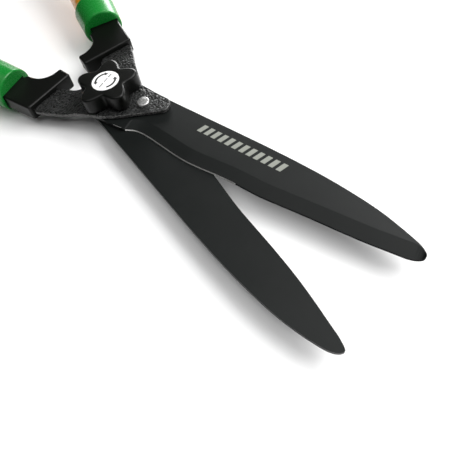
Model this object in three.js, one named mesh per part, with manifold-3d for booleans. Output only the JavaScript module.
// Hedge shears: two riveted levers on one bolt, tensioned by a five-lobed knob.
// Millimetres, +Z up. Origin: the pivot axis, on the flat underside of the bolt's head.
// Pieces are drawn with z = 0 on the plane where the blades slide, and raised at the end.
// The blades point along -Y and the handles along +Y. Each lever is drawn in its closed
// position, blade tip on -Y, and is then turned about the pivot by half the opening.
import * as THREE from 'three';
import { mergeVertices } from 'three/addons/utils/BufferGeometryUtils.js';
import Module from 'manifold-3d';

const wasm = await Module();
wasm.setup();

// ---- Driving dimensions -------------------------------------------------------------
const DEG = Math.PI / 180;
const HALF_OPENING = 7.87 * DEG; // each lever's turn from closed in the modelled pose

const BLADE_TIP = 235; // pivot to tip
const BLADE_THICKNESS = 2.8;
const SLIDE_GAP = 0.15; // half the gap between the sliding faces
const BEVEL_WIDTH = 9.3; // hollow-ground band behind the cutting edge
const EDGE_THICKNESS = 0.12;
const GRIND_WIDTH = 0.75; // bright ground strip along the cutting edge, at the heel
const GRIND_TAPER = 0.5; // share of that width lost at the tip
const GRIND_HEIGHT = 0.5;
const HEEL = 27.4; // distance from the pivot where the grinding begins
const HEEL_RUN = 1.8; // length of the step from full thickness down to the ground edge
const NOSE_START = 226;
const ROOT_RADIUS = 15.5; // rounded end behind the pivot

const PLATE_THICKNESS = 2.8; // brackets
const PLATE_GAP = 0.2; // between blade and bracket
const PLATE_BASE = SLIDE_GAP + BLADE_THICKNESS + PLATE_GAP;
const PLATE_TOP = PLATE_BASE + PLATE_THICKNESS;
const BEND_ANGLE = 27 * DEG; // direction of the bracket's arm, from +Y
const BEND_START = 16.5; // the joggle, measured along the arm
const BEND_END = 37;

const BOLT_RADIUS = 5;
const BOLT_TOP = 16;
const BOLT_HEAD_RADIUS = 10.5;
const BOLT_HEAD_HEIGHT = 3.6;
const HEAD_GAP = 0.2; // between the head and the lower bracket
const NECK_HALF = 5.2; // square neck under the head
const BORE_RADIUS = 5.35;

const RIVET_AT = [5.1, -28];
const RIVET_HEAD_RADIUS = 4.5;
const RIVET_HEAD_HEIGHT = 2.2;
const RIVET_RADIUS = 2.6;
const RIVET_SINK_RADIUS = 4;

const KNOB_BASE = 6.7;
const KNOB_TOP = 18.5;
const KNOB_TIP_RADIUS = 22.7;
const KNOB_FLUTE_RADIUS = 15;
const KNOB_LOBES = 5;
const KNOB_PHASE = 45 * DEG;
const KNOB_EDGE = 1.6;
const KNOB_CUP_RADIUS = 13;
const KNOB_CUP_TOP = 9.6;
const LABEL_RADIUS = 9.9;
const LABEL_RECESS = 0.9;
const LABEL_THICKNESS = 0.6;
const NUT_RADIUS = 8.8; // across corners, half
const NUT_BASE = 9.8;
const NUT_TOP = 16.4;

const WASHER_RADIUS = 12;
const WASHER_THICKNESS = 1.2;
const SPRING_RADIUS = 11.2;

const BLOCK_HALF_HEIGHT = 6.3; // moulded buffer block
const BLOCK_MID = [48, -0.7]; // y and z of the block's front face centre
const BLOCK_TILT = 5 * DEG;
const SLOT_GAP = 0.35;

const HANDLE_POINT = [-30.3, 60, 0.1]; // a point on the upper lever's handle axis
const HANDLE_SPLAY = 11.2 * DEG; // from +Y, closed
const HANDLE_RISE = 10.2 * DEG; // above the blades' plane
const FERRULE_RADIUS = 16.1; // at the front face
const FERRULE_REAR_RADIUS = 17.1;
const UPPER_FACE = 16.7; // positions along the handle axis: each ferrule's front face
const LOWER_FACE = 19.5;
const FERRULE_LENGTH = 23.5;
const FERRULE_WALL = 2.6;
const NECK_END = 25.5; // where the block's neck stops inside the ferrule
const TUBE_RADIUS = 14.8;
const TUBE_WALL = 1.4;
const TUBE_START = 26;
const TUBE_END = 270;
const SPIGOT_END = 60;
const GRIP_START = 148;
const GRIP_END = 266;
const CAP_END = 277;
const FIT = 0.3; // clearance between nested round pieces

// ---- Helpers ------------------------------------------------------------------------
function look(color, roughness, metalness) {
  return new THREE.MeshStandardMaterial({ color, roughness, metalness });
}

const steelBlack = look(0x2c2e2d, 0.45, 0.6);
const plateBlack = look(0x242424, 0.6, 0.3);
const plasticBlack = look(0x161716, 0.5, 0);
const steelBright = look(0xa9a9a6, 0.3, 1);
const plasticGreen = look(0x1f9a45, 0.3, 0);
const tubeAmber = look(0xd9920f, 0.35, 0.1);
const rubberBlack = look(0x1b1c1b, 0.8, 0);
const labelWhite = look(0xf2f2ee, 0.4, 0);

function merged(geometry) {
  const bare = geometry.clone();
  bare.deleteAttribute('normal');
  if (bare.attributes.uv) bare.deleteAttribute('uv');
  return mergeVertices(bare, 1e-4);
}

function toSolid(geometry) {
  const g = merged(geometry);
  const vertProperties = new Float32Array(g.attributes.position.array);
  const triVerts = new Uint32Array(g.index.array);
  return new wasm.Manifold(new wasm.Mesh({ numProp: 3, vertProperties, triVerts }));
}

function fromSolid(solid) {
  const mesh = solid.getMesh();
  const stride = mesh.numProp;
  const count = mesh.vertProperties.length / stride;
  const positions = new Float32Array(count * 3);
  for (let i = 0; i < count; i++) {
    for (let j = 0; j < 3; j++) positions[3 * i + j] = mesh.vertProperties[stride * i + j];
  }
  const g = new THREE.BufferGeometry();
  g.setAttribute('position', new THREE.BufferAttribute(positions, 3));
  g.setIndex(new THREE.BufferAttribute(new Uint32Array(mesh.triVerts), 1));
  g.computeVertexNormals();
  return g;
}

function cut(base, ...tools) {
  let solid = toSolid(base);
  for (const tool of tools) solid = solid.subtract(toSolid(tool));
  return fromSolid(solid);
}

function join(...pieces) {
  let solid = toSolid(pieces[0]);
  for (const piece of pieces.slice(1)) solid = solid.add(toSolid(piece));
  return fromSolid(solid);
}

function overlapOf(a, b) {
  return fromSolid(toSolid(a).intersect(toSolid(b)));
}

// A prism of a plan outline between two heights.
function prism(points, z0, z1) {
  const shape = new THREE.Shape(points.map(([x, y]) => new THREE.Vector2(x, y)));
  const g = new THREE.ExtrudeGeometry(shape, { depth: z1 - z0, bevelEnabled: false });
  return g.translate(0, 0, z0);
}

// A solid of revolution about +Z: profile points are [radius, height].
function turned(profile, segments = 32) {
  const points = profile.map(([r, z]) => new THREE.Vector2(r, z));
  return new THREE.LatheGeometry(points, segments).rotateX(Math.PI / 2);
}

function disc(radius, z0, z1, segments = 32) {
  return new THREE.CylinderGeometry(radius, radius, z1 - z0, segments)
    .rotateX(Math.PI / 2)
    .translate(0, 0, (z0 + z1) / 2);
}

// Points of a quarter round from angle a0 to a1 about a centre in the profile plane.
function arc(cx, cy, radius, a0, a1, steps = 5) {
  const points = [];
  for (let i = 0; i <= steps; i++) {
    const a = (a0 + ((a1 - a0) * i) / steps) * DEG;
    points.push([cx + radius * Math.cos(a), cy + radius * Math.sin(a)]);
  }
  return points;
}

function smooth(points, divisions) {
  const curve = new THREE.CatmullRomCurve3(
    points.map(([x, y]) => new THREE.Vector3(x, y, 0)),
    false,
    'centripetal',
  );
  return curve.getPoints(divisions).map((p) => [p.x, p.y]);
}

// Value at s of a smooth line through [s, value] knots.
function along(knots, s) {
  let i = 0;
  while (i < knots.length - 2 && s > knots[i + 1][0]) i++;
  const slope = (k) => {
    const a = knots[Math.max(0, k - 1)];
    const b = knots[Math.min(knots.length - 1, k + 1)];
    return (b[1] - a[1]) / (b[0] - a[0]);
  };
  const [s0, v0] = knots[i];
  const [s1, v1] = knots[i + 1];
  const h = s1 - s0;
  const t = Math.min(1, Math.max(0, (s - s0) / h));
  const t2 = t * t;
  const t3 = t2 * t;
  return (
    (2 * t3 - 3 * t2 + 1) * v0 + (t3 - 2 * t2 + t) * h * slope(i) +
    (3 * t2 - 2 * t3) * v1 + (t3 - t2) * h * slope(i + 1)
  );
}

// A closed skin over rings of equal length, with flat ends.
function loft(rings) {
  const n = rings[0].length;
  const positions = rings.flat(2);
  const index = [];
  for (let r = 0; r < rings.length - 1; r++) {
    for (let i = 0; i < n; i++) {
      const a = r * n + i;
      const b = r * n + ((i + 1) % n);
      index.push(a, b, b + n, a, b + n, a + n);
    }
  }
  const last = (rings.length - 1) * n;
  for (let i = 1; i < n - 1; i++) {
    index.push(0, i + 1, i);
    index.push(last, last + i, last + i + 1);
  }
  const g = new THREE.BufferGeometry();
  g.setAttribute('position', new THREE.Float32BufferAttribute(positions, 3));
  g.setIndex(index);
  g.computeVertexNormals();
  return g;
}

// ---- Blades -------------------------------------------------------------------------
// Offsets from the pivot-to-tip line at each distance from the pivot.
const UPPER_BACK = [[0, 18.8], [60, 18.8], [110, 18.8], [130, 18.6], [150, 18.0], [170, 16.8],
  [190, 14.6], [205, 12.1], [220, 8.1], [228, 5.7], [235, 4.4]];
const LOWER_BACK = [[0, 18.8], [60, 18.7], [110, 18.6], [130, 18.5], [150, 18.0], [170, 17.0],
  [190, 15.2], [205, 13.0], [220, 9.3], [228, 6.8], [235, 5.6]];
const HEEL_EDGE = [[0, 20.2], [12, 20.1], [24, 19.2], [27.4, 18.6], [30, 17.4]];
const WAVY_EDGE = [...HEEL_EDGE, [36, 14.7], [45, 13.9], [57, 14.7], [70, 16.0], [83, 16.8],
  [95, 16.2], [108, 14.9], [120, 14.1], [140, 13.9], [156, 12.4], [173, 10.7], [190, 9.4],
  [206, 7.9], [220, 6.0], [235, 4.1]];
const PLAIN_EDGE = [...HEEL_EDGE, [36, 14.9], [45, 14.4], [60, 15.3], [80, 16.2], [97, 15.6],
  [118, 13.2], [138, 11.1], [158, 10.2], [175, 9.3], [193, 7.8], [209, 5.7], [222, 3.6],
  [235, 1.8]];

function blade(back, edge) {
  const z0 = SLIDE_GAP;
  const z1 = SLIDE_GAP + BLADE_THICKNESS;
  const stations = [];
  for (let s = 2; s < HEEL - 1; s += 6) stations.push(s);
  for (const share of [0, 0.3, 0.6, 1]) stations.push(HEEL + HEEL_RUN * share);
  for (let s = HEEL + HEEL_RUN + 2; s < 45; s += 2.5) stations.push(s);
  for (let s = 45; s < NOSE_START; s += 6) stations.push(s);
  for (let i = 0; i <= 9; i++) {
    stations.push(NOSE_START + (BLADE_TIP - NOSE_START) * Math.sin((i * Math.PI) / 2 / 9.25));
  }
  const rings = stations.map((s) => {
    const t = Math.max(0, (s - NOSE_START) / (BLADE_TIP - NOSE_START));
    const nose = Math.sqrt(1 - t * t);
    const backX = along(back, s) * nose;
    const edgeX = -along(edge, s) * nose;
    const grow = Math.sin((Math.PI / 2) * Math.min(1, Math.max(0.02, (s - HEEL) / HEEL_RUN)));
    const room = backX - edgeX;
    const ridge = edgeX + Math.min(BEVEL_WIDTH * grow, room * 0.9);
    const strip = GRIND_WIDTH * grow * (1 - (GRIND_TAPER * s) / BLADE_TIP);
    const ground = edgeX + Math.min(Math.max(0.1, strip), room * 0.4);
    const full = 1 - grow;
    const edgeZ = z0 + EDGE_THICKNESS + (BLADE_THICKNESS - EDGE_THICKNESS - 0.1) * full;
    const groundZ = edgeZ + GRIND_HEIGHT + (0.06 - GRIND_HEIGHT) * full;
    return [[backX, -s, z0], [backX, -s, z1], [ridge, -s, z1], [ground, -s, groundZ], [edgeX, -s, edgeZ],
      [edgeX, -s, z0]];
  });
  const root = prism(
    [[-20.1, -2.4], [-18.6, 3], ...arc(0, 0, ROOT_RADIUS, 150, 30, 12), [18, 3], [18.8, -2.4]].reverse(),
    z0,
    z1,
  );
  const sink = turned([[0, z0 - 1], [RIVET_SINK_RADIUS + FIT + 1, z0 - 1], [RIVET_RADIUS + FIT, z0 + 1.6],
    [RIVET_RADIUS + FIT, z1 + 1], [0, z1 + 1]], 20).translate(...RIVET_AT, 0);
  return cut(join(loft(rings), root), disc(BORE_RADIUS, z0 - 1, z1 + 1), sink);
}

// ---- Brackets -----------------------------------------------------------------------
const PLATE_LOWER = [[-40.4, 45], [-36.6, 34.7], [-31, 21.6], [-27.4, 11.1], [-24, 0.6], [-20.1, -9.4],
  [-15, -18.3], [-9.6, -25.2], [-2.7, -33.6], [5.4, -43.6]];
const PLATE_UPPER = [[17.8, -29.6], [18.8, -9], [17.6, 5], [12.6, 14], [3.6, 20.4], [-4, 26.5],
  [-8.6, 34.4], [-12.4, 45]];
const TANG = [[-18.7, 51], [-22.8, 71], [-41.4, 71], [-37.7, 51]];

function bracketOutline() {
  return [
    ...smooth(PLATE_UPPER, 24),
    ...TANG,
    ...smooth(PLATE_LOWER, 26),
    ...arc(10.2, -40.4, 5.9, 235, 300, 4),
    ...arc(11.9, -39.2, 5.9, 300, 350, 4),
  ];
}

// The plate's side view: flat over the blade, then an S-bend down to the handle plane.
function bracketProfile() {
  const drop = (PLATE_BASE + PLATE_TOP) / 2;
  const band = (offset) => {
    const points = [[-60, PLATE_BASE + offset]];
    for (let i = 0; i <= 8; i++) {
      const t = i / 8;
      const ease = t * t * (3 - 2 * t);
      points.push([BEND_START + (BEND_END - BEND_START) * t, PLATE_BASE + offset - drop * ease]);
    }
    points.push([100, PLATE_BASE + offset - drop]);
    return points;
  };
  return [...band(0), ...band(PLATE_THICKNESS).reverse()];
}

function bracket(squareHole) {
  const plan = prism(bracketOutline(), -8, 10);
  const side = prism(bracketProfile(), -80, 80)
    .rotateX(Math.PI / 2)
    .rotateZ(Math.PI / 2 + BEND_ANGLE);
  const plate = overlapOf(plan, side);
  const bore = squareHole
    ? new THREE.BoxGeometry(2 * NECK_HALF + 0.6, 2 * NECK_HALF + 0.6, 30)
    : disc(BORE_RADIUS, 0, 10);
  return cut(plate, bore, disc(RIVET_RADIUS + FIT, 0, 10, 20).translate(...RIVET_AT, 0));
}

function rivet() {
  const top = PLATE_TOP + 0.1 + RIVET_HEAD_HEIGHT;
  const profile = [
    [0, SLIDE_GAP + 0.1],
    [RIVET_SINK_RADIUS - 0.1, SLIDE_GAP + 0.1],
    [RIVET_RADIUS, SLIDE_GAP + 1.4],
    [RIVET_RADIUS, PLATE_TOP + 0.1],
    [RIVET_HEAD_RADIUS, PLATE_TOP + 0.1],
    ...arc(RIVET_HEAD_RADIUS - 0.9, top - 1.1, 0.9, 0, 80, 3),
    [0, top],
  ];
  return turned(profile, 20).translate(...RIVET_AT, 0);
}

// ---- Pivot hardware -----------------------------------------------------------------
function pivotBolt() {
  const seat = -PLATE_TOP - HEAD_GAP;
  const bottom = seat - BOLT_HEAD_HEIGHT;
  const body = turned([
    [0, bottom],
    [BOLT_HEAD_RADIUS - 4, bottom],
    [BOLT_HEAD_RADIUS - 1.4, bottom + 0.9],
    [BOLT_HEAD_RADIUS, seat - 1],
    [BOLT_HEAD_RADIUS, seat],
    [BOLT_RADIUS, seat],
    [BOLT_RADIUS, BOLT_TOP - 0.8],
    [BOLT_RADIUS - 0.8, BOLT_TOP],
    [0, BOLT_TOP],
  ]);
  const neck = new THREE.BoxGeometry(2 * NECK_HALF, 2 * NECK_HALF, 2.6).translate(0, 0, seat + 1.29);
  return join(body, neck);
}

function ringPlate(outer, inner, z0, z1) {
  return turned([[inner, z0], [outer, z0], [outer, z1], [inner, z1], [inner, z0]]);
}

function discSpring() {
  const z = PLATE_TOP + 0.2 + WASHER_THICKNESS + 0.15;
  const rise = 0.9;
  const t = 0.8;
  return turned([
    [SPRING_RADIUS, z],
    [SPRING_RADIUS, z + t],
    [BORE_RADIUS + 0.3, z + rise + t],
    [BORE_RADIUS + 0.3, z + rise],
    [SPRING_RADIUS, z],
  ]);
}

function knobOutline() {
  const points = [];
  const steps = 80;
  for (let i = 0; i < steps; i++) {
    const a = (i * 2 * Math.PI) / steps;
    const wave = (1 + Math.cos(KNOB_LOBES * (a - KNOB_PHASE))) / 2;
    const r = KNOB_FLUTE_RADIUS + (KNOB_TIP_RADIUS - KNOB_FLUTE_RADIUS) * wave ** 0.88;
    points.push(new THREE.Vector2(r * Math.cos(a), r * Math.sin(a)));
  }
  return new THREE.Shape(points);
}

function hexagon(radius, z0, z1) {
  return new THREE.CylinderGeometry(radius, radius, z1 - z0, 6)
    .rotateX(Math.PI / 2)
    .translate(0, 0, (z0 + z1) / 2);
}

function tensionKnob() {
  const body = new THREE.ExtrudeGeometry(knobOutline(), {
    depth: KNOB_TOP - KNOB_BASE - 2 * KNOB_EDGE,
    bevelEnabled: true,
    bevelSize: KNOB_EDGE,
    bevelThickness: KNOB_EDGE,
    bevelOffset: -KNOB_EDGE,
    bevelSegments: 2,
  }).translate(0, 0, KNOB_BASE + KNOB_EDGE);
  return cut(
    body,
    disc(KNOB_CUP_RADIUS, KNOB_BASE - 1, KNOB_CUP_TOP),
    hexagon(NUT_RADIUS + 0.3, KNOB_CUP_TOP - 1, NUT_TOP + 0.3),
    disc(LABEL_RADIUS + 0.4, KNOB_TOP - LABEL_RECESS, KNOB_TOP + 1),
  );
}

function knobInsert() {
  return cut(hexagon(NUT_RADIUS, NUT_BASE, NUT_TOP), disc(BOLT_RADIUS + 0.3, NUT_BASE - 1, NUT_TOP + 1));
}

function knobLabel() {
  const z = KNOB_TOP - LABEL_RECESS + 0.1;
  return disc(LABEL_RADIUS, z, z + LABEL_THICKNESS, 40);
}

// ---- Buffers, ferrules and handles --------------------------------------------------
const HOOK_CURVE = [[-0.6, 59.7], [-7.4, 59.9], [-13.2, 62.2], [-17.4, 66.4], [-19.3, 71.6], [-20, 75.4]];
const NECK_INNER = [[-23, 77], [-24.4, 86]];
const NECK_OUTER = [[-47.9, 86], [-42.9, 49.2]];

function buffer(face) {
  const outline = [
    [-1, 48.1],
    [-0.6, 48.6],
    ...smooth(HOOK_CURVE, 16),
    ...NECK_INNER,
    NECK_OUTER[0],
    ...arc(-41.2, 49.2, 1.7, 180, 250, 3),
  ];
  const block = prism(outline, -BLOCK_HALF_HEIGHT, BLOCK_HALF_HEIGHT)
    .translate(0, -BLOCK_MID[0], 0)
    .rotateX(BLOCK_TILT)
    .translate(0, BLOCK_MID[0], BLOCK_MID[1]);
  const beyond = onHandleAxis(new THREE.BoxGeometry(90, 90, 60).translate(0, 0, NECK_END + 30));
  const spigotRadius = TUBE_RADIUS - TUBE_WALL - FIT;
  const spigot = onHandleAxis(disc(spigotRadius, face + FERRULE_WALL + FIT, SPIGOT_END, 28));
  const g = SLOT_GAP;
  const slot = prism(
    [[-10, 40], [-12.4 + g, 45], [-18.7 + g, 51 + 0.2], [-22.8 + g, 71 + g], [-41.4 - g, 71 + g],
      [-37.7 - g, 51 + 0.2], [-40.4 - g, 45], [-40.4 - g, 40]],
    -PLATE_THICKNESS / 2 - g,
    PLATE_THICKNESS / 2 + g,
  );
  return cut(join(cut(block, beyond), spigot), slot);
}

// Takes a piece drawn along +Z onto the upper lever's handle axis.
function onHandleAxis(geometry) {
  return geometry
    .rotateX(-(Math.PI / 2 - HANDLE_RISE))
    .rotateZ(HANDLE_SPLAY)
    .translate(...HANDLE_POINT);
}

function ferrule(face) {
  const r = FERRULE_RADIUS;
  const end = face + FERRULE_LENGTH;
  const bore = TUBE_RADIUS + FIT;
  const shoulder = FERRULE_REAR_RADIUS - bore - 0.4;
  const shell = turned([
    [0, face],
    [r - 1.6, face],
    ...arc(r - 1.6, face + 1.6, 1.6, -60, 0, 2),
    ...arc(FERRULE_REAR_RADIUS - shoulder, end - shoulder, shoulder, 0, 90, 4),
    [bore, end],
    [bore, face + FERRULE_WALL],
    [0, face + FERRULE_WALL],
  ], 36);
  const g = SLOT_GAP;
  const inner = NECK_INNER.map(([x, y]) => [x + g, y]);
  const outer = NECK_OUTER.map(([x, y]) => [x - g, y]);
  const halfMouth = BLOCK_HALF_HEIGHT + g;
  const mouth = prism([[-19, 66], [-19, 77], ...inner, ...outer], -halfMouth, halfMouth)
    .translate(0, -BLOCK_MID[0], 0)
    .rotateX(BLOCK_TILT)
    .translate(0, BLOCK_MID[0], BLOCK_MID[1]);
  return cut(onHandleAxis(shell), mouth);
}

function handleTube() {
  return onHandleAxis(turned([
    [TUBE_RADIUS - TUBE_WALL, TUBE_START],
    [TUBE_RADIUS, TUBE_START],
    [TUBE_RADIUS, TUBE_END],
    [TUBE_RADIUS - TUBE_WALL, TUBE_END],
    [TUBE_RADIUS - TUBE_WALL, TUBE_START],
  ], 28));
}

function grip() {
  const length = GRIP_END - GRIP_START;
  const outer = [];
  const steps = 12;
  for (let i = 0; i <= steps; i++) {
    const t = i / steps;
    const flare = 2.6 * Math.exp(-((t / 0.07) ** 2)) + 2.2 * Math.exp(-(((1 - t) / 0.09) ** 2));
    const palm = 1.1 * Math.sin(Math.PI * t) ** 2;
    outer.push([TUBE_RADIUS + 1.9 + palm + flare, GRIP_START + length * t]);
  }
  const bore = TUBE_RADIUS + FIT;
  return onHandleAxis(turned([[bore, GRIP_START], ...outer, [bore, GRIP_END], [bore, GRIP_START]], 24));
}

function endCap() {
  const rim = TUBE_RADIUS + 3.6;
  return onHandleAxis(turned([
    [0, TUBE_END - 16],
    [TUBE_RADIUS - TUBE_WALL - FIT, TUBE_END - 16],
    [TUBE_RADIUS - TUBE_WALL - FIT, TUBE_END + FIT],
    [TUBE_RADIUS + FIT, TUBE_END + FIT],
    [TUBE_RADIUS + FIT, GRIP_END + FIT],
    [rim, GRIP_END + FIT],
    ...arc(rim - 4.5, CAP_END - 4.5, 4.5, 0, 90, 3),
    [0, CAP_END],
  ], 24));
}

// ---- Assembly -----------------------------------------------------------------------
const shears = new THREE.Group();
const raised = new THREE.Group();
raised.position.z = PLATE_TOP + HEAD_GAP + BOLT_HEAD_HEIGHT;
shears.add(raised);

function add(parent, name, geometry, material) {
  const mesh = new THREE.Mesh(geometry, material);
  mesh.name = name;
  parent.add(mesh);
}

// Mirror in x: the other hand of a piece, with its faces still pointing out.
function otherHand(geometry) {
  const g = merged(geometry.clone().scale(-1, 1, 1));
  const index = g.index.array;
  for (let i = 0; i < index.length; i += 3) [index[i], index[i + 1]] = [index[i + 1], index[i]];
  g.computeVertexNormals();
  return g;
}

const upperLever = new THREE.Group();
upperLever.rotation.z = HALF_OPENING;
raised.add(upperLever);
add(upperLever, 'upper_blade', blade(UPPER_BACK, WAVY_EDGE), steelBlack);
add(upperLever, 'upper_bracket', bracket(false), plateBlack);
add(upperLever, 'upper_rivet', rivet(), steelBright);
add(upperLever, 'upper_buffer', buffer(UPPER_FACE), plasticBlack);
add(upperLever, 'upper_ferrule', ferrule(UPPER_FACE), plasticGreen);
add(upperLever, 'upper_handle', handleTube(), tubeAmber);
add(upperLever, 'upper_grip', grip(), rubberBlack);
add(upperLever, 'upper_end_cap', endCap(), plasticGreen);

const lowerLever = new THREE.Group();
lowerLever.rotation.z = -HALF_OPENING;
raised.add(lowerLever);
const flipped = new THREE.Group();
flipped.rotation.y = Math.PI;
lowerLever.add(flipped);
add(flipped, 'lower_blade', blade(LOWER_BACK, PLAIN_EDGE), steelBlack);
add(flipped, 'lower_bracket', bracket(true), plateBlack);
add(flipped, 'lower_rivet', rivet(), steelBright);
add(lowerLever, 'lower_buffer', otherHand(buffer(LOWER_FACE)), plasticBlack);
add(lowerLever, 'lower_ferrule', otherHand(ferrule(LOWER_FACE)), plasticGreen);
add(lowerLever, 'lower_handle', otherHand(handleTube()), tubeAmber);
add(lowerLever, 'lower_grip', otherHand(grip()), rubberBlack);
add(lowerLever, 'lower_end_cap', otherHand(endCap()), plasticGreen);
add(lowerLever, 'pivot_bolt', pivotBolt(), steelBright);

const washerBase = PLATE_TOP + 0.2;
const washerTop = washerBase + WASHER_THICKNESS;
add(raised, 'thrust_washer', ringPlate(WASHER_RADIUS, BORE_RADIUS, washerBase, washerTop), steelBright);
add(raised, 'disc_spring', discSpring(), steelBright);
add(raised, 'tension_knob', tensionKnob(), plasticBlack);
add(raised, 'knob_insert', knobInsert(), steelBright);
add(raised, 'knob_label', knobLabel(), labelWhite);

export default shears;
